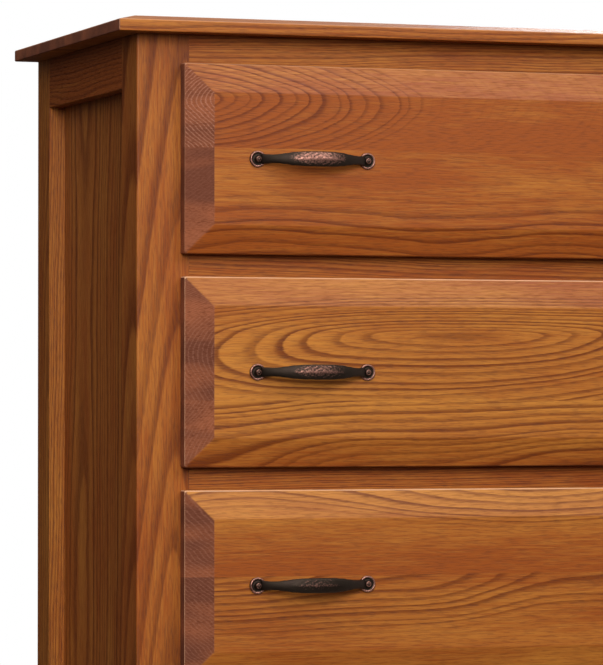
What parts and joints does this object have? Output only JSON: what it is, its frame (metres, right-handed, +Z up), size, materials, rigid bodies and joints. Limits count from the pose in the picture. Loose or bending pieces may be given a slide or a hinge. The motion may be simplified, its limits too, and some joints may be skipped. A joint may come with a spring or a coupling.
{
  "type": "chest of drawers",
  "caption": "Tall oak chest of drawers with posts, floating side panels, overhanging top, bevelled block fronts on dovetailed drawer boxes, and cast bow pulls.",
  "frame": {"origin": "centre of the bounding box, on the floor", "axes": "+Z up; the drawers open towards -Y; +X to the right of someone facing the drawers"},
  "size_m": [0.9712, 0.4573, 1.32],
  "materials": {
    "oak": "stained and lacquered, satin",
    "oak_top": "stained and lacquered, satin",
    "oak_front": "stained and lacquered, satin",
    "oak_panel": "stained and lacquered, satin",
    "drawer_wood": "clear lacquered maple",
    "plywood": "clear lacquered maple plywood",
    "pull_bronze": "cast, aged dark bronze"
  },
  "bodies": {
    "case": {"top_board": "oak_top", "back_panel": "plywood", "post_front_left": "oak", "post_back_left": "oak", "side_top_rail_left": "oak", "side_bottom_rail_left": "oak", "side_panel_left": "oak_panel", "runners_left": "drawer_wood", "kicker_left": "drawer_wood", "post_front_right": "oak", "post_back_right": "oak", "side_top_rail_right": "oak", "side_bottom_rail_right": "oak", "side_panel_right": "oak_panel", "runners_right": "drawer_wood", "kicker_right": "drawer_wood", "front_bottom_rail": "oak", "front_rail_4": "oak", "front_rail_3": "oak", "front_rail_2": "oak", "front_rail_1": "oak", "front_top_rail": "oak", "back_bottom_rail": "oak", "back_top_rail": "oak"},
    "drawer_1": {"drawer_1_front": "oak_front", "drawer_1_box_front": "drawer_wood", "drawer_1_side_left": "drawer_wood", "drawer_1_side_right": "drawer_wood", "drawer_1_back": "drawer_wood", "drawer_1_bottom": "plywood", "drawer_1_pulls": "pull_bronze"},
    "drawer_2": {"drawer_2_front": "oak_front", "drawer_2_box_front": "drawer_wood", "drawer_2_side_left": "drawer_wood", "drawer_2_side_right": "drawer_wood", "drawer_2_back": "drawer_wood", "drawer_2_bottom": "plywood", "drawer_2_pulls": "pull_bronze"},
    "drawer_3": {"drawer_3_front": "oak_front", "drawer_3_box_front": "drawer_wood", "drawer_3_side_left": "drawer_wood", "drawer_3_side_right": "drawer_wood", "drawer_3_back": "drawer_wood", "drawer_3_bottom": "plywood", "drawer_3_pulls": "pull_bronze"},
    "drawer_4": {"drawer_4_front": "oak_front", "drawer_4_box_front": "drawer_wood", "drawer_4_side_left": "drawer_wood", "drawer_4_side_right": "drawer_wood", "drawer_4_back": "drawer_wood", "drawer_4_bottom": "plywood", "drawer_4_pulls": "pull_bronze"},
    "drawer_5": {"drawer_5_front": "oak_front", "drawer_5_box_front": "drawer_wood", "drawer_5_side_left": "drawer_wood", "drawer_5_side_right": "drawer_wood", "drawer_5_back": "drawer_wood", "drawer_5_bottom": "plywood", "drawer_5_pulls": "pull_bronze"}
  },
  "joints": [
    {"name": "drawer_1_slide", "type": "slide", "parent": "case", "child": "drawer_1", "axis": [0, -1, 0], "range_m": [0, 0.28]},
    {"name": "drawer_2_slide", "type": "slide", "parent": "case", "child": "drawer_2", "axis": [0, -1, 0], "range_m": [0, 0.28]},
    {"name": "drawer_3_slide", "type": "slide", "parent": "case", "child": "drawer_3", "axis": [0, -1, 0], "range_m": [0, 0.28]},
    {"name": "drawer_4_slide", "type": "slide", "parent": "case", "child": "drawer_4", "axis": [0, -1, 0], "range_m": [0, 0.28]},
    {"name": "drawer_5_slide", "type": "slide", "parent": "case", "child": "drawer_5", "axis": [0, -1, 0], "range_m": [0, 0.28]}
  ]
}
